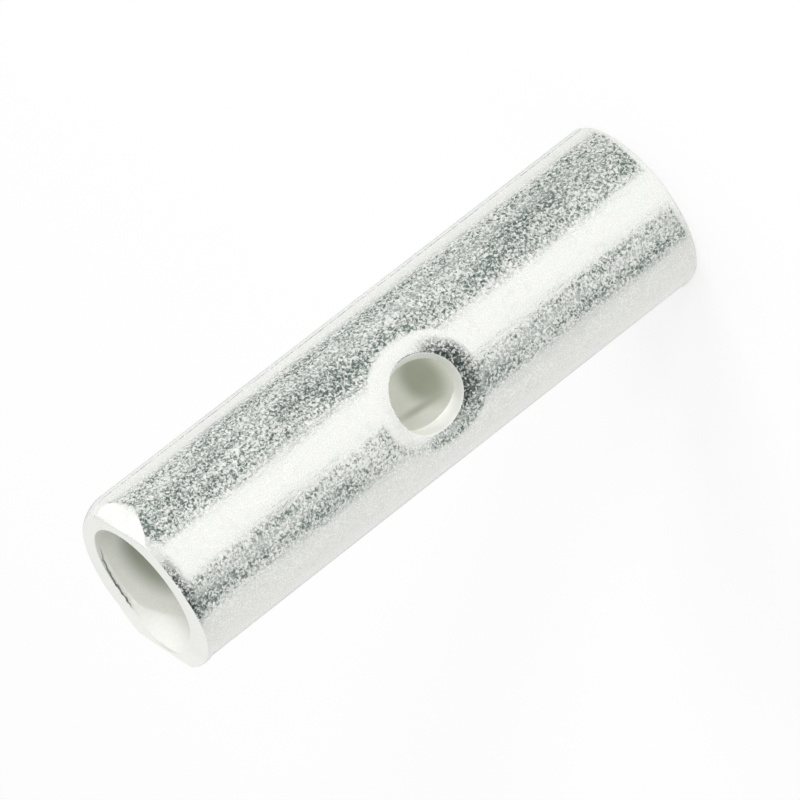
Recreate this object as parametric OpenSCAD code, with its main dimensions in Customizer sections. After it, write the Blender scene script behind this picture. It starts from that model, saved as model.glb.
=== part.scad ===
// Bare butt splice connector: one strip of tinned copper, rolled to a tube whose edges butt at a seam.
// The tube stands on its lower end. Its axis is Z, and the inspection window faces the front (-Y).
// Angles round the tube start at the window and grow towards +X.

/* [Barrel] */
// Outside diameter of the tube
barrel_d = 5.5; // [4.5:0.1:8]
// Length between the two cut ends
barrel_l = 19; // [12:0.5:32]
// Thickness of the strip
wall = 0.75; // [0.6:0.05:1]

/* [Seam] */
// Angle from the window round to the seam
seam_angle = 90; // [60:1:180]
// Hairline gap left between the two butted edges
seam_gap = 0.03; // [0.02:0.01:0.08]
// Radius of the strip's outer edges along the seam
seam_edge_r = 0.14; // [0.08:0.01:0.2]
// Width of each corner of the strip that is eased where the seam meets the lower end
corner_w = 0.3; // [0.2:0.05:0.9]
// Length of barrel that the eased corners take up
corner_l = 0.06; // [0.04:0.01:0.3]

/* [Inspection window] */
// Diameter of the hole as it was punched in the flat strip
window_d = 2.3; // [1.2:0.1:2.6]
// How far the hole's centre lies above the middle of the barrel
window_shift = 0.1; // [-0.5:0.05:0.5]
// How far the punch drew the rim into the wall
rim_depth = 0.22; // [0.1:0.01:0.3]
// How far the drawn rim reaches round the hole
rim_reach = 0.65; // [0.3:0.05:0.8]

/* [Sheared ends] */
// Angle from the window round to the side where the blade came in
blade_angle = 62; // [0:1:180]
// How much higher the upper end leans on that side than at the foot of the burr
lean = 0.15; // [0:0.01:0.25]
// Length of barrel that the blade pressed down at the upper end as it came in
bevel_l = 0.6; // [0.4:0.05:1.2]
// Depth to which the pressed bevel cuts back the upper end face
bevel_depth = 0.45; // [0.35:0.01:0.6]
// Angle from the window round to the middle of the upper end's rolled edge
rolled_angle = 112; // [80:1:150]
// Length of barrel that is rolled over at the upper end
rolled_l = 0.5; // [0.2:0.05:0.6]
// Depth to which the rolled edge cuts back the upper end face
rolled_depth = 0.3; // [0.1:0.01:0.35]
// Angle from the window round to the middle of the upper end's second rolled edge, in front
front_angle = 10; // [-20:1:30]
// Length of barrel that is rolled over there
front_l = 0.35; // [0.2:0.05:0.6]
// Depth to which the second rolled edge cuts back the upper end face
front_depth = 0.12; // [0.05:0.01:0.2]
// Length of barrel that is rolled over at the lower end, on the blade's side
lower_rolled_l = 0.15; // [0.1:0.05:0.6]
// Depth to which the rolled edge cuts back the lower end face
lower_rolled_depth = 0.06; // [0.04:0.01:0.3]
// How far the burr stands out from the barrel where the blade came out
burr_out = 0.12; // [0.05:0.01:0.15]
// Length of barrel that flares out to the burr
burr_l = 0.45; // [0.3:0.05:1]
// Height of the burr at the upper end
burr_rise = 0.12; // [0.05:0.01:0.2]
// Width of the upper end face that slopes up to the burr
burr_slope = 0.95; // [0.5:0.05:1.5]
// Length of barrel that was flattened under the burr at the upper end
flat_l = 1; // [0.6:0.05:1.5]
// Depth to which the barrel was flattened
flat_depth = 0.18; // [0.1:0.01:0.28]
// Length of bore that is eased under the burr
mouth_l = 0.85; // [0.5:0.05:1.2]
// Thickness of the lip that is left between the eased mouth and the flat
lip = 0.08; // [0.05:0.01:0.2]
// Radius of the eased mouth at the end face, about its own axis
mouth_r = 1.5; // [1.2:0.05:1.9]

/* [Hidden] */

barrel_r = barrel_d / 2;
bore_r = barrel_r - wall;
// Layer of the strip that neither stretched nor shrank as it was rolled
neutral_r = barrel_r - wall / 2;
window_r = window_d / 2;
window_z = barrel_l / 2 + window_shift;
flat_r = barrel_r - flat_depth;
mouth_depth = wall - flat_depth - lip;

// Reach of a cutter past the face that it opens
over = 0.5;
// Reach of a cutter past a face that it barely leaves
slight_over = 0.05;
// How flat a turned edge is: 0 for an arc that starts along the wall, 1 for a plain chamfer
pressed = 0.65;
eased = 0.3;
// Power of the curve in which the drawn rim falls from the barrel to the hole
rim_curve = 1.5;
// An edge that fades out round the tube is rolled about an axis shifted by this share of its depth
fade = 1.5;
front_fade = 2.5;
lower_fade = 0.6;

window_sides = 56;
rim_steps = 6;
$fn = 96;

// Angle at which a turned edge leaves the wall
function edge_lead(length, depth, flat) = flat * atan(depth / length);

// Radius of the arc that turns an edge over a length of wall and cuts the end face back by a depth
function edge_r(length, depth, flat) =
    let (lead = edge_lead(length, depth, flat))
    (length * length + depth * depth) / (2 * (depth * cos(lead) - length * sin(lead)));

// Centre of that arc, with the wall on the left of x = 0 and the end face at y = 0
function edge_centre(length, depth, flat) =
    let (lead = edge_lead(length, depth, flat), r = edge_r(length, depth, flat))
    [-r * cos(lead), length + r * sin(lead)];

// Place on the rolled strip: x runs round the tube in the flat and z along it, at a radius from the axis
function rolled(x, z, radius) =
    let (turn = x / neutral_r * 180 / PI)
    [radius * sin(turn), -radius * cos(turn), z];

// Steps of the window's wall, from the bore outwards: [radius from the axis, radius of the hole in the flat]
rim_step = rim_reach / rim_steps;
rim_rise = rim_depth * pow(1 / rim_steps, rim_curve);
window_steps = [
    [bore_r - over, window_r],
    for (i = [0 : rim_steps - 1])
        [
            barrel_r - rim_depth * pow(1 - i / rim_steps, rim_curve),
            window_r + i * rim_step
        ],
    [barrel_r + slight_over, window_r + rim_reach + slight_over / rim_rise * rim_step]
];

// What is taken off a square edge to turn it over: the wall is left of x = 0 and the end face is y = 0
module turned_edge(length, depth, flat) {
    difference() {
        translate([-depth - slight_over, -over])
            square([depth + slight_over + over, length + slight_over + over]);
        translate(edge_centre(length, depth, flat))
            circle(edge_r(length, depth, flat));
    }
}

// Turns a profile about the barrel's axis, shifted away from the side that an angle gives
module turned_about(angle, shift) {
    rotate([0, 0, angle])
        translate([0, shift, 0])
            rotate_extrude()
                children();
}

// Outer edge of an end, rolled over most at an angle and fading out to both sides
module rolled_edge(angle, length, depth, share) {
    turned_about(angle, share * depth)
        translate([barrel_r + share * depth, 0])
            turned_edge(length, depth, eased);
}

// Puts the children at the lower end and, upside down, at the upper end
module at_both_ends() {
    children();
    at_upper_end()
        children();
}

module at_upper_end() {
    translate([0, 0, barrel_l])
        mirror([0, 0, 1])
            children();
}

// Flare of the barrel out to the burr, which runs past the end until that is cut off
module burr_flare() {
    root_r = barrel_r - burr_out;
    turned_about(blade_angle, burr_out)
        polygon([
            [0, -over],
            [barrel_r, -over],
            [barrel_r, 0],
            [root_r, burr_l],
            [0, burr_l]
        ]);
}

// Plain cut of the lower end, with its outer edge rolled over on the blade's side
module lower_cut() {
    translate([0, 0, -over])
        cube([2 * barrel_d, 2 * barrel_d, 2 * over], center = true);
    rolled_edge(blade_angle, lower_rolled_l, lower_rolled_depth, lower_fade);
}

// Blade's path through the upper end, drawn from the side, upside down, and cut straight across: it presses
// a bevel as it comes in, leans, and tears a slope up to the burr, where the barrel is flattened under it
module upper_cut() {
    burr_x = -barrel_r - burr_out;
    flat_slope = flat_depth / flat_l;
    rotate([0, 0, blade_angle - 90])
        rotate([90, 0, 0])
            linear_extrude(height = 2 * barrel_d, center = true) {
                polygon([
                    [burr_x - over, -burr_rise],
                    [burr_x, -burr_rise],
                    [burr_x + burr_slope, 0],
                    [barrel_r, -lean],
                    [barrel_r + over, -lean],
                    [barrel_r + over, -2 * over],
                    [burr_x - over, -2 * over]
                ]);
                translate([barrel_r, -lean])
                    turned_edge(bevel_l + lean, bevel_depth, pressed);
                polygon([
                    [-flat_r + flat_slope * over, -over],
                    [-barrel_r - flat_slope * slight_over, flat_l + slight_over],
                    [burr_x - over, flat_l + slight_over],
                    [burr_x - over, -over]
                ]);
            }
    translate([0, 0, -lean]) {
        rolled_edge(rolled_angle, rolled_l + lean, rolled_depth, fade);
        rolled_edge(front_angle, front_l + lean, front_depth, front_fade);
    }
}

// Eased edge of the bore under the burr
module eased_mouth() {
    turned_about(blade_angle, bore_r + mouth_depth - mouth_r)
        translate([mouth_r - mouth_depth, 0])
            mirror([1, 0])
                turned_edge(mouth_l, mouth_depth, eased);
}

// Butted seam: a hairline through the wall that opens to a groove between the strip's rounded edges
module seam() {
    edge_x = seam_gap / 2 + seam_edge_r;
    rotate([0, 0, seam_angle])
        translate([0, 0, -over])
            linear_extrude(height = barrel_l + 2 * over) {
                translate([-seam_gap / 2, -barrel_r - over])
                    square([seam_gap, wall + 2 * over]);
                difference() {
                    translate([-edge_x, -barrel_r - over])
                        square([2 * edge_x, over + seam_edge_r]);
                    for (side = [-1, 1])
                        translate([side * edge_x, -barrel_r + seam_edge_r])
                            circle(seam_edge_r);
                }
            }
}

// Eased corners of the strip on both sides of the seam, cut through the wall
module eased_corners() {
    r = edge_r(corner_w, corner_l, eased);
    centre = edge_centre(corner_w, corner_l, eased);
    rotate([0, 0, seam_angle])
        translate([0, over - bore_r, 0])
            rotate([90, 0, 0])
                linear_extrude(height = wall + 2 * over)
                    difference() {
                        translate([-corner_w - slight_over, -over])
                            square([2 * (corner_w + slight_over), over + corner_l]);
                        for (side = [-1, 1])
                            translate([side * centre[1], -centre[0]])
                                circle(r);
                    }
}

// Inspection window: a round hole, punched in the flat and rolled with the strip, so its walls lean inwards
module window() {
    last = len(window_steps) - 1;
    inner_tip = len(window_steps) * window_sides;
    function at(step, side) = step * window_sides + side % window_sides;
    walls = [
        for (step = window_steps, side = [0 : window_sides - 1])
            let (a = 360 * side / window_sides)
            rolled(step[1] * cos(a), window_z + step[1] * sin(a), step[0])
    ];
    tips = [
        rolled(0, window_z, bore_r - 2 * over),
        rolled(0, window_z, 2 * barrel_r)
    ];
    polyhedron(
        points = concat(walls, tips),
        faces = [
            for (side = [0 : window_sides - 1])
                each concat(
                    [[inner_tip, at(0, side), at(0, side + 1)]],
                    [
                        for (step = [0 : last - 1])
                            each [
                                [at(step, side), at(step + 1, side + 1), at(step, side + 1)],
                                [at(step, side), at(step + 1, side), at(step + 1, side + 1)]
                            ]
                    ],
                    [[inner_tip + 1, at(last, side + 1), at(last, side)]]
                )
        ]
    );
}

// The whole connector: a rolled and tinned copper sleeve
module sleeve() {
    color("silver")
        difference() {
            union() {
                translate([0, 0, -over])
                    cylinder(h = barrel_l + 2 * over, r = barrel_r);
                at_both_ends()
                    burr_flare();
            }
            translate([0, 0, -2 * over])
                cylinder(h = barrel_l + 4 * over, r = bore_r);
            seam();
            window();
            at_both_ends()
                eased_mouth();
            eased_corners();
            lower_cut();
            at_upper_end()
                upper_cut();
        }
}

sleeve();
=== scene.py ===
from math import atan, cos, pi, radians, sin

import bpy
import numpy as np
from mathutils import Matrix


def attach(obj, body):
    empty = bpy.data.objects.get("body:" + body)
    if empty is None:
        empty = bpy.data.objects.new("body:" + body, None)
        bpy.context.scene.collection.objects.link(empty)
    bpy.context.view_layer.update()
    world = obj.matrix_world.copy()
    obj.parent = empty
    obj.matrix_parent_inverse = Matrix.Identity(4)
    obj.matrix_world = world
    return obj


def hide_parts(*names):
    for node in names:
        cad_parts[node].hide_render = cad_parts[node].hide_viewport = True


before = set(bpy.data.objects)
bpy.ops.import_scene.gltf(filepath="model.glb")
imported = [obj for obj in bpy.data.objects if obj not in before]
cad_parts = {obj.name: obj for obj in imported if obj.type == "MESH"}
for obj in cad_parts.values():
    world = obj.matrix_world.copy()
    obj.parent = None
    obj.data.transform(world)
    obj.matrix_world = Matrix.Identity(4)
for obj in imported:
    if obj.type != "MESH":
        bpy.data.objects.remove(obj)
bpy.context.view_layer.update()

# SLEEVE
# The whole connector: one strip of copper, punched in the flat, rolled until its long edges butt at a seam,
# sheared to length and tinned all over. It is shaped here in millimetres, in the order of the real work.
barrel_d, barrel_l, wall = 5.494, 19.0, 0.75
seam_gap = 0.006
barrel_r = barrel_d / 2
bore_r = barrel_r - wall
neutral_r = barrel_r - wall / 2

# The strip lies flat with its outer face up. The window's centre is at x = 0, a quarter of the strip's
# width from the edge that ends up on the right of the seam.
strip_w = 2 * pi * neutral_r - seam_gap
cells_across, cells_along = 128, 190
cell_x, cell_y = strip_w / cells_across, barrel_l / cells_along
left, right = -0.75 * strip_w, 0.25 * strip_w
window_y = barrel_l / 2 + cell_y

bpy.ops.object.select_all(action="DESELECT")
bpy.ops.mesh.primitive_grid_add(
    x_subdivisions=cells_across, y_subdivisions=cells_along, size=1, enter_editmode=True
)
sleeve = bpy.context.object
sleeve.name = "tinned_sleeve"
sleeve.data.name = "tinned_sleeve"
bpy.ops.transform.resize(value=(strip_w, barrel_l, 1))
bpy.ops.transform.translate(value=((left + right) / 2, barrel_l / 2, wall / 2))


def pick(kind, wanted):
    """Selects the faces, edges or vertices of the mesh in hand whose middle is wanted."""
    bpy.ops.mesh.select_mode(type=kind)
    bpy.ops.mesh.select_all(action="DESELECT")
    bpy.ops.object.mode_set(mode="OBJECT")
    mesh = bpy.context.object.data
    at = np.empty(len(mesh.vertices) * 3)
    mesh.vertices.foreach_get("co", at)
    at = at.reshape(-1, 3)
    if kind == "VERT":
        items, middles = mesh.vertices, at
    elif kind == "EDGE":
        ends = np.empty(len(mesh.edges) * 2, dtype=np.int32)
        mesh.edges.foreach_get("vertices", ends)
        items, middles = mesh.edges, at[ends].reshape(-1, 2, 3).mean(axis=1)
    else:
        items, middles = mesh.polygons, np.empty(len(mesh.polygons) * 3)
        mesh.polygons.foreach_get("center", middles)
        middles = middles.reshape(-1, 3)
    items.foreach_set("select", wanted(*middles.T))
    bpy.ops.object.mode_set(mode="EDIT")


close, very_close = 0.004, 0.002


def near(value, target, slack=close):
    return np.abs(value - target) < slack


# The punch: a square of cells makes room for rings of faces round the hole.
ring_cells_x, ring_cells_y = 19, 22
ring_w, ring_h = ring_cells_x * cell_x, ring_cells_y * cell_y
dish_r = 1.8
window_r = 1.15


def from_window(x, y):
    return np.hypot(x, y - window_y)


def on_circle(x, y, radius):
    return near(from_window(x, y), radius, very_close)


def in_square(x, y):
    return np.maximum(np.abs(x) / ring_w, np.abs(y - window_y) / ring_h)


pick("FACE", lambda x, y, z: in_square(x, y) < 1)
bpy.ops.mesh.delete(type="FACE")
bpy.ops.mesh.primitive_circle_add(
    vertices=4 * (ring_cells_x + ring_cells_y),
    radius=dish_r,
    fill_type="NOTHING",
    location=(0, window_y, wall / 2),
)
pick("EDGE", lambda x, y, z: near(in_square(x, y), 1) | on_circle(x, y, dish_r))
bpy.ops.mesh.bridge_edge_loops(number_cuts=3, interpolation="LINEAR")

# The inner face is a copy of the outer one before its rim is drawn.
bpy.ops.mesh.select_all(action="SELECT")
bpy.ops.mesh.duplicate_move(TRANSFORM_OT_translate={"value": (0, 0, -wall)})
pick("EDGE", lambda x, y, z: on_circle(x, y, dish_r) & (z < 0))
inner_rings = (1.65, 1.5, 1.35, 1.25, window_r)
last_r = dish_r
for inner_r in inner_rings:
    bpy.ops.mesh.extrude_edges_move()
    size = inner_r / last_r
    bpy.ops.transform.resize(value=(size, size, 1), center_override=(0, window_y, 0))
    last_r = inner_r

# The punch draws the outer face down into the hole, ever more steeply.
rim_depth, rim_curve, rim_steps = 0.22, 1.5, 16
pick("EDGE", lambda x, y, z: on_circle(x, y, dish_r) & (z > 0))
last_r, last_depth = dish_r, 0
for step in range(1, rim_steps + 1):
    rim_r = dish_r - (dish_r - window_r) * step / rim_steps
    depth = rim_depth * (step / rim_steps) ** rim_curve
    bpy.ops.mesh.extrude_edges_move(TRANSFORM_OT_translate={"value": (0, 0, last_depth - depth)})
    size = rim_r / last_r
    bpy.ops.transform.resize(value=(size, size, 1), center_override=(0, window_y, 0))
    last_r, last_depth = rim_r, depth

# Walls of the hole and edges of the strip close the solid.
pick("EDGE", lambda x, y, z: on_circle(x, y, window_r))
bpy.ops.mesh.bridge_edge_loops(number_cuts=5, interpolation="LINEAR")


def on_outline(x, y):
    return near(x, left) | near(x, right) | near(y, 0) | near(y, barrel_l)


pick("EDGE", lambda x, y, z: on_outline(x, y))
bpy.ops.mesh.bridge_edge_loops(number_cuts=0, interpolation="LINEAR")
bpy.ops.mesh.select_all(action="SELECT")
bpy.ops.mesh.normals_make_consistent(inside=False)

# The strip's edges are rounded a little, and cut into bands for the shaping of the ends.
edge_r = 0.025
end_bands = (0.07, 0.15, 0.25, 0.35, 0.45, 0.55)
hair = 0.000001
pick("EDGE", lambda x, y, z: (
    on_outline(x, y) & near(np.abs(z), wall / 2)
    | on_circle(x, y, window_r) & (near(z, -wall / 2) | near(z, wall / 2 - rim_depth))
))
bpy.ops.mesh.bevel(offset=edge_r, segments=3, affect="EDGES", clamp_overlap=False)
pick("EDGE", lambda x, y, z: near(z, 0, very_close) & on_outline(x, y))
bpy.ops.mesh.subdivide(number_cuts=14)
for distance in end_bands:
    for cut in (distance, barrel_l - distance):
        bpy.ops.mesh.select_all(action="SELECT")
        bpy.ops.mesh.bisect(plane_co=(0, cut, 0), plane_no=(0, 1, 0), threshold=hair)

# The second finish is for the inner face, the walls of the hole and the cut ends.
sleeve.data.materials.append(None)
sleeve.data.materials.append(None)
pick("FACE", lambda x, y, z: (z < wall / 2 - rim_depth - close) | near(y, 0) | near(y, barrel_l))
sleeve.active_material_index = 1
bpy.ops.object.material_slot_assign()

# The roll: the strip is stood up with its outer face to the front and bent round the tube's axis.
bpy.ops.object.mode_set(mode="OBJECT")
sleeve.rotation_euler = (pi / 2, 0, 0)
bpy.ops.object.transform_apply(location=True, rotation=True, scale=True)
roll = sleeve.modifiers.new("roll", "SIMPLE_DEFORM")
roll.deform_method = "BEND"
roll.deform_axis = "Z"
roll.angle = strip_w / neutral_r
bpy.ops.object.modifier_apply(modifier="roll")
bpy.ops.object.mode_set(mode="EDIT")
bpy.ops.mesh.select_all(action="SELECT")
bpy.ops.transform.translate(value=(0, -neutral_r, 0))

# The shears: at the upper end the blade comes in on one side, presses a bevel, leans, rolls the outer edge
# over and tears a slope up to a burr on the far side, where the barrel is flattened. The lower end is almost
# plain. Angles go round the tube from the window, and lengths go along it from the end.
blade, rolled, front = radians(62), radians(112), radians(10)
lean = 0.149
bevel_l, bevel_depth, bevel_flat = 0.54, 0.45, 0.65
rolled_l, rolled_depth, rolled_shift = 0.5, 0.3, 0.45
front_l, front_depth, front_shift = 0.35, 0.12, 0.3
lower_rolled_l, lower_rolled_depth, lower_rolled_shift = 0.28, 0.075, 0.05
burr_out, burr_l, burr_rise, burr_slope = 0.12, 0.45, 0.12, 0.95
flat_l, flat_depth, lip = 1.0, 0.18, 0.01
mouth_l, mouth_depth, mouth_r = 0.85, 0.49, 1.5
corner_w, corner_l = 0.3, 0.06
nick, nick_spread, nick_from, nick_to, nick_depth = radians(183), radians(32), 0.05, 0.16, 0.05
eased = 0.3
upper_reach, lower_reach = 2.2, 1.2
flat_r = barrel_r - flat_depth
bevel_from = barrel_r - bevel_depth
burr_foot = burr_slope - barrel_r - burr_out
end_cuts = (bevel_from, 2.4, 2.5, 2.6, 2.68, burr_foot)
end_face = barrel_l - 0.01

for across in end_cuts:
    pick("FACE", lambda x, y, z: z > end_face)
    bpy.ops.mesh.bisect(
        plane_co=(across * sin(blade), -across * cos(blade), 0),
        plane_no=(sin(blade), -cos(blade), 0),
        threshold=hair,
    )
pick("FACE", lambda x, y, z: (z > end_face) & (x * sin(blade) - y * cos(blade) > bevel_from))
sleeve.active_material_index = 0
bpy.ops.object.material_slot_assign()
bpy.ops.object.mode_set(mode="OBJECT")


def turned(distance, length, depth, flat):
    """Depth to which an edge is turned over, at a distance from the end: an arc, plainer as flat nears 1."""
    lead = flat * atan(depth / length)
    r = (length ** 2 + depth ** 2) / (2 * (depth * cos(lead) - length * sin(lead)))
    centre_x, centre_y = -r * cos(lead), length + r * sin(lead)
    arc = np.sqrt(np.maximum(r ** 2 - (distance - centre_y) ** 2, 0))
    return np.where(distance < length, -centre_x - arc, 0)


def about(shift, radius, facing):
    """Distance from the axis to a circle whose centre is shifted, seen at an angle with that cosine."""
    return shift * facing + np.sqrt(radius ** 2 - shift ** 2 * (1 - facing ** 2))


# Radius and height depend on each other near the ends, so they settle in a few rounds.
rounds = 3
least_flare, least_behind = 0.9 * barrel_r, 0.1
at = np.empty(len(sleeve.data.vertices) * 3)
sleeve.data.vertices.foreach_get("co", at)
x, y, plain_z = at.reshape(-1, 3).T.copy()
plain_r = np.hypot(x, y)
to_blade = (x * sin(blade) - y * cos(blade)) / plain_r
to_rolled = (x * sin(rolled) - y * cos(rolled)) / plain_r
to_front = (x * sin(front) - y * cos(front)) / plain_r
to_nick = (x * sin(nick) - y * cos(nick)) / plain_r
share = (plain_r - bore_r) / wall
upper = np.clip(1 - (barrel_l - plain_z) / upper_reach, 0, 1) ** 2
lower = np.clip(1 - plain_z / lower_reach, 0, 1) ** 2
r = plain_r
for settle in range(rounds):
    across = r * to_blade
    face = np.where(
        across > burr_foot,
        lean * (across - burr_foot) / (barrel_r - burr_foot),
        burr_rise * (burr_foot - across) / burr_slope,
    )
    bevel = lean - turned(barrel_r - across, bevel_depth, bevel_l + lean, bevel_flat)
    z = plain_z + np.minimum(face, bevel) * upper
    outer, inner = np.full_like(z, barrel_r), np.full_like(z, bore_r)
    for end in (z, barrel_l - z):
        flare = np.maximum(barrel_r - burr_out * np.maximum(end, 0) / burr_l, least_flare)
        outer = np.maximum(outer, about(burr_out, flare, -to_blade))
        opened = mouth_r - mouth_depth + turned(np.maximum(end, 0), mouth_l, mouth_depth, eased)
        inner = np.maximum(inner, about(bore_r + mouth_depth - mouth_r, opened, -to_blade))
    flat = flat_r + flat_depth / flat_l * (barrel_l - z)
    outer = np.minimum(outer, flat / np.maximum(-to_blade, least_behind))
    turn = turned(barrel_l + lean - z, rolled_l + lean, rolled_depth, eased)
    outer = np.minimum(outer, about(-rolled_shift, barrel_r + rolled_shift - turn, to_rolled))
    turn = turned(barrel_l + lean - z, front_l + lean, front_depth, eased)
    outer = np.minimum(outer, about(-front_shift, barrel_r + front_shift - turn, to_front))
    turn = turned(z, lower_rolled_l, lower_rolled_depth, eased)
    outer = np.minimum(outer, about(-lower_rolled_shift, barrel_r + lower_rolled_shift - turn, to_front))
    torn = np.clip((to_nick - cos(nick_spread)) / (1 - cos(nick_spread)), 0, 1) ** 0.5
    torn = torn * ((barrel_l - plain_z > nick_from) & (barrel_l - plain_z < nick_to))
    inner = np.minimum(inner + nick_depth * torn, outer - lip)
    r = inner + share * (outer - inner)
z = z + np.where(x > 0, turned(np.abs(y), corner_w, corner_l, eased), 0) * lower
sleeve.data.vertices.foreach_set("co", np.stack((x * r / plain_r, y * r / plain_r, z), axis=1).ravel())

# From millimetres to the frame's metres.
mm = 0.001
bpy.ops.object.mode_set(mode="EDIT")
bpy.ops.mesh.select_all(action="SELECT")
bpy.ops.transform.resize(value=(mm, mm, mm), center_override=(0, 0, 0))
bpy.ops.mesh.normals_make_consistent(inside=False)
bpy.ops.object.mode_set(mode="OBJECT")
bpy.ops.object.shade_smooth_by_angle(angle=radians(35))

# Tin freezes in fine crystals: a mask of matt specks, denser in streaks along the strip, the crystals'
# height and the faint waves of the streaks.
plain_cover, punched_cover, sheared_cover = 0.5, 0.43, 0.42
crystals = bpy.data.node_groups.new("tin_crystals", "ShaderNodeTree")
crystals.interface.new_socket("Coverage", in_out="INPUT", socket_type="NodeSocketFloat")
crystals.interface.new_socket("Specks", in_out="OUTPUT", socket_type="NodeSocketFloat")
crystals.interface.new_socket("Height", in_out="OUTPUT", socket_type="NodeSocketFloat")
crystals.interface.new_socket("Waves", in_out="OUTPUT", socket_type="NodeSocketFloat")
nodes, links = crystals.nodes, crystals.links
given = nodes.new("NodeGroupInput")
made = nodes.new("NodeGroupOutput")
place = nodes.new("ShaderNodeTexCoord")
grain = nodes.new("ShaderNodeTexNoise")
grain.inputs["Scale"].default_value = 12500
grain.inputs["Detail"].default_value = 3
grain.inputs["Distortion"].default_value = 0.7
links.new(place.outputs["Object"], grain.inputs["Vector"])
drawn = nodes.new("ShaderNodeMapping")
drawn.inputs["Scale"].default_value = (1, 1, 0.2)
links.new(place.outputs["Object"], drawn.inputs["Vector"])
streaks = nodes.new("ShaderNodeTexNoise")
streaks.inputs["Scale"].default_value = 1500
streaks.inputs["Detail"].default_value = 3
links.new(drawn.outputs["Vector"], streaks.inputs["Vector"])
gathered = nodes.new("ShaderNodeMath")
gathered.operation = "MULTIPLY_ADD"
gathered.inputs[1].default_value = 0.28
links.new(streaks.outputs["Fac"], gathered.inputs[0])
links.new(grain.outputs["Fac"], gathered.inputs[2])
covered = nodes.new("ShaderNodeMath")
links.new(gathered.outputs["Value"], covered.inputs[0])
links.new(given.outputs["Coverage"], covered.inputs[1])
speck = nodes.new("ShaderNodeMapRange")
speck.inputs["From Min"].default_value = 1.0
speck.inputs["From Max"].default_value = 1.31
links.new(covered.outputs["Value"], speck.inputs["Value"])
links.new(speck.outputs["Result"], made.inputs["Specks"])
links.new(grain.outputs["Fac"], made.inputs["Height"])
links.new(streaks.outputs["Fac"], made.inputs["Waves"])

# Bright tin outside: mirror-like, broken up by the matt specks, faintly stained by handling, and burnished
# where the punch and the shears pressed on it.
burnish_from, burnish_to = 0.6, 0.15
bright_tin = bpy.data.materials.new("bright_tin")
bright_tin.use_nodes = True
nodes, links = bright_tin.node_tree.nodes, bright_tin.node_tree.links
metal = nodes["Principled BSDF"]
plate = nodes.new("ShaderNodeGroup")
plate.node_tree = crystals
place = nodes.new("ShaderNodeTexCoord")
by_window = nodes.new("ShaderNodeMapping")
by_window.vector_type = "TEXTURE"
by_window.inputs["Location"].default_value = (0, -barrel_r * mm, window_y * mm)
by_window.inputs["Scale"].default_value = (dish_r * mm, barrel_r * mm, dish_r * mm)
links.new(place.outputs["Object"], by_window.inputs["Vector"])
window_distance = nodes.new("ShaderNodeVectorMath")
window_distance.operation = "LENGTH"
links.new(by_window.outputs["Vector"], window_distance.inputs[0])
punch_mark = nodes.new("ShaderNodeMapRange")
punch_mark.inputs["From Min"].default_value = 0.7
punch_mark.inputs["From Max"].default_value = 1.1
punch_mark.inputs["To Min"].default_value = punched_cover
punch_mark.inputs["To Max"].default_value = plain_cover
links.new(window_distance.outputs["Value"], punch_mark.inputs["Value"])
split = nodes.new("ShaderNodeSeparateXYZ")
links.new(place.outputs["Object"], split.inputs["Vector"])
shear_mark = nodes.new("ShaderNodeMapRange")
shear_mark.inputs["From Min"].default_value = (barrel_l - burnish_from) * mm
shear_mark.inputs["From Max"].default_value = (barrel_l - burnish_to) * mm
shear_mark.inputs["To Min"].default_value = plain_cover
shear_mark.inputs["To Max"].default_value = sheared_cover
links.new(split.outputs["Z"], shear_mark.inputs["Value"])
burnished = nodes.new("ShaderNodeMath")
burnished.operation = "MINIMUM"
links.new(punch_mark.outputs["Result"], burnished.inputs[0])
links.new(shear_mark.outputs["Result"], burnished.inputs[1])
links.new(burnished.outputs["Value"], plate.inputs["Coverage"])
colour = nodes.new("ShaderNodeMix")
colour.data_type = "RGBA"
colour.inputs["A"].default_value = (0.79, 0.80, 0.775, 1)
colour.inputs["B"].default_value = (0.862, 0.870, 0.828, 1)
links.new(plate.outputs["Specks"], colour.inputs["Factor"])
handled = nodes.new("ShaderNodeTexNoise")
handled.inputs["Scale"].default_value = 3200
handled.inputs["Detail"].default_value = 5
links.new(place.outputs["Object"], handled.inputs["Vector"])
stain = nodes.new("ShaderNodeMapRange")
stain.inputs["From Min"].default_value = 0.55
stain.inputs["From Max"].default_value = 0.72
stain.inputs["To Max"].default_value = 0.4
links.new(handled.outputs["Fac"], stain.inputs["Value"])
stained = nodes.new("ShaderNodeMix")
stained.data_type = "RGBA"
stained.inputs["B"].default_value = (0.70, 0.71, 0.66, 1)
links.new(stain.outputs["Result"], stained.inputs["Factor"])
links.new(colour.outputs["Result"], stained.inputs["A"])
links.new(stained.outputs["Result"], metal.inputs["Base Color"])
mirror = nodes.new("ShaderNodeMapRange")
mirror.inputs["To Min"].default_value = 1
mirror.inputs["To Max"].default_value = 0.1
links.new(plate.outputs["Specks"], mirror.inputs["Value"])
links.new(mirror.outputs["Result"], metal.inputs["Metallic"])
frost = nodes.new("ShaderNodeMapRange")
frost.inputs["To Min"].default_value = 0.10
frost.inputs["To Max"].default_value = 0.5
links.new(plate.outputs["Specks"], frost.inputs["Value"])
links.new(frost.outputs["Result"], metal.inputs["Roughness"])
bump = nodes.new("ShaderNodeBump")
bump.inputs["Strength"].default_value = 1
bump.inputs["Distance"].default_value = 0.000005
links.new(plate.outputs["Height"], bump.inputs["Height"])
links.new(bump.outputs["Normal"], metal.inputs["Normal"])
wavy = nodes.new("ShaderNodeBump")
wavy.inputs["Strength"].default_value = 1
wavy.inputs["Distance"].default_value = 0.00003
links.new(plate.outputs["Waves"], wavy.inputs["Height"])
links.new(wavy.outputs["Normal"], bump.inputs["Normal"])

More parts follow.
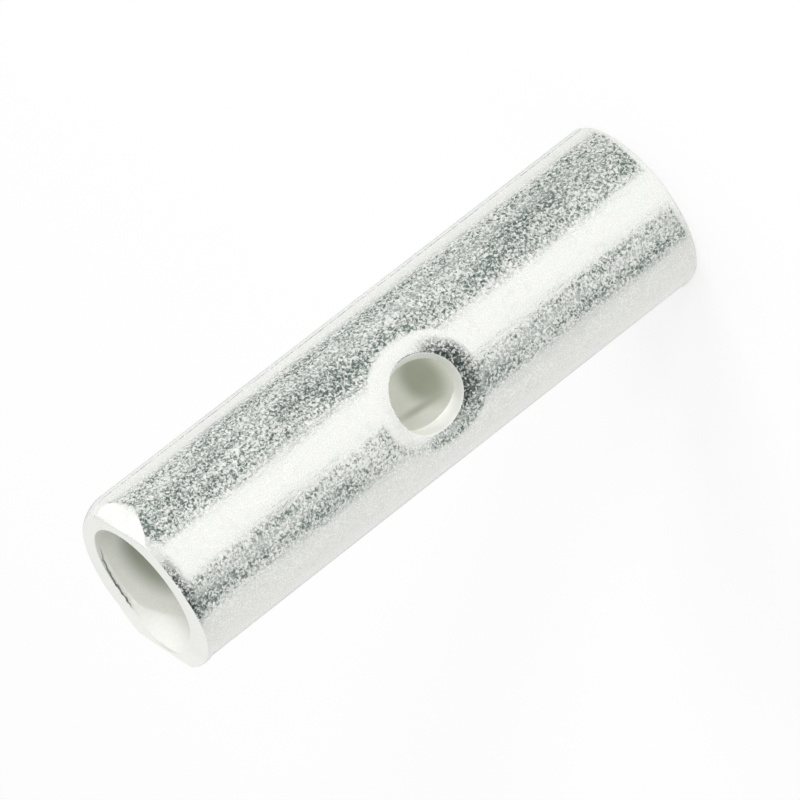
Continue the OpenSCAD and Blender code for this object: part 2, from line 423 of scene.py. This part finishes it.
# Dull tin in the bore, the hole and on the cut ends: a thin coat, smooth and almost matt. Painted shade
# darkens it to an olive grey in from the upper end and across from the window, where a painted shadow line
# runs along the bore.
dull_tin = bpy.data.materials.new("dull_tin")
dull_tin.use_nodes = True
nodes, links = dull_tin.node_tree.nodes, dull_tin.node_tree.links
coat = nodes["Principled BSDF"]
coat.inputs["Metallic"].default_value = 0.2
coat.inputs["Roughness"].default_value = 0.45
plate = nodes.new("ShaderNodeGroup")
plate.node_tree = crystals
plate.inputs["Coverage"].default_value = plain_cover
pale = nodes.new("ShaderNodeMix")
pale.data_type = "RGBA"
pale.inputs["A"].default_value = (0.83, 0.84, 0.795, 1)
pale.inputs["B"].default_value = (0.87, 0.875, 0.835, 1)
links.new(plate.outputs["Specks"], pale.inputs["Factor"])

place = nodes.new("ShaderNodeTexCoord")


def bore_spot(angle, height, tilt, half_w, half_h, vector, fade_from):
    """Mask of a soft oval on the bore's wall, at an angle round the tube and a height in millimetres."""
    spot = nodes.new("ShaderNodeMapping")
    spot.vector_type = "TEXTURE"
    spot.inputs["Location"].default_value = (
        bore_r * sin(angle) * mm, -bore_r * cos(angle) * mm, height * mm
    )
    spot.inputs["Rotation"].default_value = (0, tilt, angle)
    spot.inputs["Scale"].default_value = (half_w * mm, bore_r * mm, half_h * mm)
    links.new(vector, spot.inputs["Vector"])
    distance = nodes.new("ShaderNodeVectorMath")
    distance.operation = "LENGTH"
    links.new(spot.outputs["Vector"], distance.inputs[0])
    mask = nodes.new("ShaderNodeMapRange")
    mask.interpolation_type = "SMOOTHSTEP"
    mask.inputs["From Min"].default_value = fade_from
    mask.inputs["From Max"].default_value = 1
    mask.inputs["To Min"].default_value = 1
    mask.inputs["To Max"].default_value = 0
    links.new(distance.outputs["Value"], mask.inputs["Value"])
    return mask


# Patches of painted shade, one in from the upper end and one across from the window. Only the bore's wall
# gets this painted shade.
shade_within, unshaded_beyond = bore_r + 0.02, bore_r + 0.15
shade_under_mouth = bore_spot(
    angle=radians(172), height=17.3, tilt=0,
    half_w=2.1, half_h=1.35, vector=place.outputs["Object"], fade_from=0.5,
)
shade_across_from_window = bore_spot(
    angle=radians(201), height=7.75, tilt=0,
    half_w=1.3, half_h=0.9, vector=place.outputs["Object"], fade_from=0.35,
)
either_shaded = nodes.new("ShaderNodeMath")
either_shaded.operation = "MAXIMUM"
links.new(shade_under_mouth.outputs["Result"], either_shaded.inputs[0])
links.new(shade_across_from_window.outputs["Result"], either_shaded.inputs[1])
flattened = nodes.new("ShaderNodeVectorMath")
flattened.operation = "MULTIPLY"
flattened.inputs[1].default_value = (1, 1, 0)
links.new(place.outputs["Object"], flattened.inputs[0])
from_axis = nodes.new("ShaderNodeVectorMath")
from_axis.operation = "LENGTH"
links.new(flattened.outputs["Vector"], from_axis.inputs[0])
in_bore = nodes.new("ShaderNodeMapRange")
in_bore.inputs["From Min"].default_value = shade_within * mm
in_bore.inputs["From Max"].default_value = unshaded_beyond * mm
in_bore.inputs["To Min"].default_value = 1
in_bore.inputs["To Max"].default_value = 0
links.new(from_axis.outputs["Value"], in_bore.inputs["Value"])
bore_shade = nodes.new("ShaderNodeMath")
bore_shade.operation = "MULTIPLY"
links.new(either_shaded.outputs["Value"], bore_shade.inputs[0])
links.new(in_bore.outputs["Result"], bore_shade.inputs[1])
# Painted shade: olive grey mixed into the pale tin inside the patches, standing in for the shade deeper in
# the bore.
bore_shade_colour = nodes.new("ShaderNodeMix")
bore_shade_colour.data_type = "RGBA"
bore_shade_colour.inputs["B"].default_value = (0.42, 0.44, 0.37, 1)
links.new(bore_shade.outputs["Value"], bore_shade_colour.inputs["Factor"])
links.new(pale.outputs["Result"], bore_shade_colour.inputs["A"])

# A painted shadow line along the bore, and a painted near-black shadow in the ragged nick just under the
# upper end's inner edge at the back.
shadow_streak_mask = bore_spot(
    angle=radians(220.5), height=8.45, tilt=radians(-6.3),
    half_w=0.2, half_h=1.05, vector=place.outputs["Object"], fade_from=0.05,
)
shadow_streak_strength = nodes.new("ShaderNodeMath")
shadow_streak_strength.operation = "MULTIPLY"
shadow_streak_strength.inputs[1].default_value = 0.75
links.new(shadow_streak_mask.outputs["Result"], shadow_streak_strength.inputs[0])
# Painted shadow: a dark olive line along the bore's wall, colour only, with no groove in the shape.
shadow_streak_colour = nodes.new("ShaderNodeMix")
shadow_streak_colour.data_type = "RGBA"
shadow_streak_colour.inputs["B"].default_value = (0.40, 0.41, 0.36, 1)
links.new(shadow_streak_strength.outputs["Value"], shadow_streak_colour.inputs["Factor"])
links.new(bore_shade_colour.outputs["Result"], shadow_streak_colour.inputs["A"])
ragged = nodes.new("ShaderNodeTexNoise")
ragged.inputs["Scale"].default_value = 6000
ragged.inputs["Detail"].default_value = 4
links.new(place.outputs["Object"], ragged.inputs["Vector"])
wander = nodes.new("ShaderNodeVectorMath")
wander.operation = "MULTIPLY_ADD"
wander.inputs[1].default_value = (0, 0, 0.16 * mm)
links.new(ragged.outputs["Color"], wander.inputs[0])
links.new(place.outputs["Object"], wander.inputs[2])
nick_shadow_spot = bore_spot(
    angle=nick, height=barrel_l + 0.04, tilt=radians(-1.5),
    half_w=1.6, half_h=0.05, vector=wander.outputs["Vector"], fade_from=0.45,
)
nick_shadow_line = nodes.new("ShaderNodeMath")
nick_shadow_line.operation = "MULTIPLY"
links.new(nick_shadow_spot.outputs["Result"], nick_shadow_line.inputs[0])
links.new(in_bore.outputs["Result"], nick_shadow_line.inputs[1])
# Painted shadow: near-black colour along the nick, standing in for the shade under the burred inner edge.
# The nick itself is real and is cut into the shape above.
nick_shadow_colour = nodes.new("ShaderNodeMix")
nick_shadow_colour.data_type = "RGBA"
nick_shadow_colour.inputs["B"].default_value = (0.10, 0.11, 0.10, 1)
links.new(nick_shadow_line.outputs["Value"], nick_shadow_colour.inputs["Factor"])
links.new(shadow_streak_colour.outputs["Result"], nick_shadow_colour.inputs["A"])
links.new(nick_shadow_colour.outputs["Result"], coat.inputs["Base Color"])
bump = nodes.new("ShaderNodeBump")
bump.inputs["Strength"].default_value = 1
bump.inputs["Distance"].default_value = 0.000002
links.new(plate.outputs["Height"], bump.inputs["Height"])
links.new(bump.outputs["Normal"], coat.inputs["Normal"])
sleeve.data.materials[0] = bright_tin
sleeve.data.materials[1] = dull_tin

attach(sleeve, "root")
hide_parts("sleeve")

# FLOOR
# A sheet of matt white paper that the connector stands on. Part of its brightness is its own, so that it
# stays white round a soft shadow.
bpy.ops.object.select_all(action="DESELECT")
bpy.ops.mesh.primitive_plane_add(size=2)
floor = bpy.context.object
floor.name = "floor"
paper = bpy.data.materials.new("white_sheet")
paper.use_nodes = True
nodes, links = paper.node_tree.nodes, paper.node_tree.links
sheet = nodes["Principled BSDF"]
sheet.inputs["Base Color"].default_value = (0.97, 0.97, 0.97, 1)
sheet.inputs["Roughness"].default_value = 0.9
sheet.inputs["Specular IOR Level"].default_value = 0
glow = nodes.new("ShaderNodeEmission")
glow.inputs["Strength"].default_value = 1.03
seen = nodes.new("ShaderNodeLightPath")
partly_seen = nodes.new("ShaderNodeMath")
partly_seen.operation = "MULTIPLY"
partly_seen.inputs[1].default_value = 0.6
white = nodes.new("ShaderNodeMixShader")
links.new(seen.outputs["Is Camera Ray"], partly_seen.inputs[0])
links.new(partly_seen.outputs["Value"], white.inputs["Fac"])
links.new(sheet.outputs["BSDF"], white.inputs[1])
links.new(glow.outputs["Emission"], white.inputs[2])
links.new(white.outputs["Shader"], nodes["Material Output"].inputs["Surface"])
floor.data.materials.append(paper)
floor.visible_glossy = False

# CAMERA
# A long lens that looks down on the window side, rolled so that the tube lies across the picture. Angles
# are in degrees, and distances in metres.
camera_turn, camera_height, camera_roll = 15.4, 20.85, -127.93
camera_place = (0.000234, -0.000218, 0.230)
camera_data = bpy.data.cameras.new("camera")
camera_data.lens = 361.3
camera_data.sensor_width = 36
camera_data.clip_start = 0.01
camera = bpy.data.objects.new("camera", camera_data)
bpy.context.scene.collection.objects.link(camera)
camera.matrix_world = (
    Matrix.Translation((0, 0, barrel_l / 2 * mm))
    @ Matrix.Rotation(radians(camera_turn), 4, "Z")
    @ Matrix.Rotation(radians(90 - camera_height), 4, "X")
    @ Matrix.Rotation(radians(camera_roll), 4, "Z")
    @ Matrix.Translation(camera_place)
)
bpy.context.scene.camera = camera

# STUDIO
# Soft white light from all round. What the metal mirrors is a white room, brighter low in front, with a dark
# card standing on each side of the camera, one hung high on the left, and a grey one behind the connector.
world = bpy.data.worlds.new("studio")
bpy.context.scene.world = world
world.use_nodes = True
nodes, links = world.node_tree.nodes, world.node_tree.links
white_room = nodes["Background"]
white_room.inputs["Color"].default_value = (1, 1, 1, 1)
white_room.inputs["Strength"].default_value = 0.82

direction = nodes.new("ShaderNodeTexCoord")
turned_to_camera = nodes.new("ShaderNodeMapping")
turned_to_camera.inputs["Rotation"].default_value = (0, 0, radians(-camera_turn))
links.new(direction.outputs["Generated"], turned_to_camera.inputs["Vector"])
split = nodes.new("ShaderNodeSeparateXYZ")
links.new(turned_to_camera.outputs["Vector"], split.inputs["Vector"])
ahead = nodes.new("ShaderNodeMath")
ahead.operation = "MULTIPLY"
ahead.inputs[1].default_value = -1
links.new(split.outputs["Y"], ahead.inputs[0])
bearing = nodes.new("ShaderNodeMath")
bearing.operation = "ARCTAN2"
links.new(split.outputs["X"], bearing.inputs[0])
links.new(ahead.outputs["Value"], bearing.inputs[1])
round_room = nodes.new("ShaderNodeMapRange")
round_room.inputs["From Min"].default_value = -pi
round_room.inputs["From Max"].default_value = pi
links.new(bearing.outputs["Value"], round_room.inputs["Value"])


def panorama(name, stops):
    """Ring of light and dark round the room: bearings from the camera, right is positive, and brightness."""
    ring = nodes.new("ShaderNodeValToRGB")
    ring.name = name
    ramp = ring.color_ramp.elements
    while len(ramp) > 1:
        ramp.remove(ramp[-1])
    for i, (angle, level) in enumerate(stops):
        position = 0.5 + angle / 360
        stop = ramp[0] if i == 0 else ramp.new(position)
        stop.position = position
        stop.color = (level, level, level, 1)
    links.new(round_room.outputs["Result"], ring.inputs["Fac"])
    return ring


low = panorama("below_eye_level", [
    (-180, 1.02), (-120, 0.87), (-72, 0.85), (-40, 1.16), (30, 1.18), (100, 1.02), (180, 1.02),
])
high = panorama("above_eye_level", [
    (-180, 0.95), (-60, 0.9), (60, 1.0), (75, 1.3), (125, 1.3), (150, 1.0), (180, 0.95),
])
low_cards = panorama("low_cards", [
    (-180, 0.4), (-165, 0.4), (-157, 0),
    (-79, 0), (-72, 1), (-55, 1), (-50, 0.5), (-45, 0.5), (-40, 1), (-33, 1), (-26, 0),
    (22, 0), (31, 1), (79, 1), (85, 0.45), (90, 1), (114, 1), (121, 0),
    (157, 0), (165, 0.4), (180, 0.4),
])
high_card = panorama("high_card", [
    (-180, 0), (-85, 0), (-70, 1), (-10, 1), (8, 0), (180, 0),
])
eye_level = nodes.new("ShaderNodeMapRange")
eye_level.interpolation_type = "SMOOTHSTEP"
eye_level.inputs["From Min"].default_value = -0.1
eye_level.inputs["From Max"].default_value = 0.25
links.new(split.outputs["Z"], eye_level.inputs["Value"])
room = nodes.new("ShaderNodeMix")
room.data_type = "RGBA"
links.new(eye_level.outputs["Result"], room.inputs["Factor"])
links.new(low.outputs["Color"], room.inputs["A"])
links.new(high.outputs["Color"], room.inputs["B"])

cards = nodes.new("ShaderNodeMix")
cards.data_type = "RGBA"
links.new(eye_level.outputs["Result"], cards.inputs["Factor"])
links.new(low_cards.outputs["Color"], cards.inputs["A"])
links.new(high_card.outputs["Color"], cards.inputs["B"])
off_table = nodes.new("ShaderNodeMapRange")
off_table.interpolation_type = "SMOOTHSTEP"
off_table.inputs["From Min"].default_value = -0.75
off_table.inputs["From Max"].default_value = -0.52
links.new(split.outputs["Z"], off_table.inputs["Value"])
standing = nodes.new("ShaderNodeMix")
standing.data_type = "RGBA"
standing.blend_type = "MULTIPLY"
standing.inputs["Factor"].default_value = 1
links.new(cards.outputs["Result"], standing.inputs["A"])
links.new(off_table.outputs["Result"], standing.inputs["B"])
card_colour = nodes.new("ShaderNodeMix")
card_colour.data_type = "RGBA"
card_colour.inputs["A"].default_value = (0.135, 0.185, 0.17, 1)
card_colour.inputs["B"].default_value = (0.05, 0.07, 0.066, 1)
links.new(eye_level.outputs["Result"], card_colour.inputs["Factor"])
set_up = nodes.new("ShaderNodeMix")
set_up.data_type = "RGBA"
links.new(standing.outputs["Result"], set_up.inputs["Factor"])
links.new(room.outputs["Result"], set_up.inputs["A"])
links.new(card_colour.outputs["Result"], set_up.inputs["B"])
mirrored_room = nodes.new("ShaderNodeBackground")
links.new(set_up.outputs["Result"], mirrored_room.inputs["Color"])
ray = nodes.new("ShaderNodeLightPath")
either = nodes.new("ShaderNodeMixShader")
links.new(ray.outputs["Is Glossy Ray"], either.inputs["Fac"])
links.new(white_room.outputs["Background"], either.inputs[1])
links.new(mirrored_room.outputs["Background"], either.inputs[2])
links.new(either.outputs["Shader"], nodes["World Output"].inputs["Surface"])


lamp_distance = 0.35


def lamp(name, bearing, height, size, energy):
    """Soft lamp at a bearing from the camera and a height in degrees, which the metal doesn't mirror."""
    data = bpy.data.lights.new(name, "AREA")
    data.size, data.energy = size, energy
    light = bpy.data.objects.new(name, data)
    light.matrix_world = (
        Matrix.Rotation(radians(camera_turn + bearing), 4, "Z")
        @ Matrix.Rotation(radians(90 - height), 4, "X")
        @ Matrix.Translation((0, 0, lamp_distance))
    )
    light.visible_glossy = False
    bpy.context.scene.collection.objects.link(light)


lamp("key", bearing=45, height=38, size=0.15, energy=0.25)
lamp("front", bearing=15, height=22, size=0.05, energy=0.2)

# Light that comes in by the window and falls on the bore's wall across from it.
window_lamp_data = bpy.data.lights.new("window_lamp", "AREA")
window_lamp_data.size = 1.6 * mm
window_lamp_data.energy = 0.000013
window_lamp = bpy.data.objects.new("window_lamp", window_lamp_data)
window_lamp.matrix_world = (
    Matrix.Translation((0, -1.3 * mm, window_y * mm))
    @ Matrix.Rotation(radians(42), 4, "Z")
    @ Matrix.Rotation(radians(80), 4, "X")
)
window_lamp.visible_camera = False
window_lamp.visible_glossy = False
bpy.context.scene.collection.objects.link(window_lamp)

# Light that the white sheet sends up the bore.
bore_lamp_data = bpy.data.lights.new("bore_lamp", "AREA")
bore_lamp_data.shape = "DISK"
bore_lamp_data.size = 3.6 * mm
bore_lamp_data.energy = 0.00014
bore_lamp = bpy.data.objects.new("bore_lamp", bore_lamp_data)
bore_lamp.matrix_world = Matrix.Translation((0, 0, 0.1 * mm)) @ Matrix.Rotation(pi, 4, "X")
bpy.context.scene.collection.objects.link(bore_lamp)

bpy.context.scene.view_settings.view_transform = "Standard"
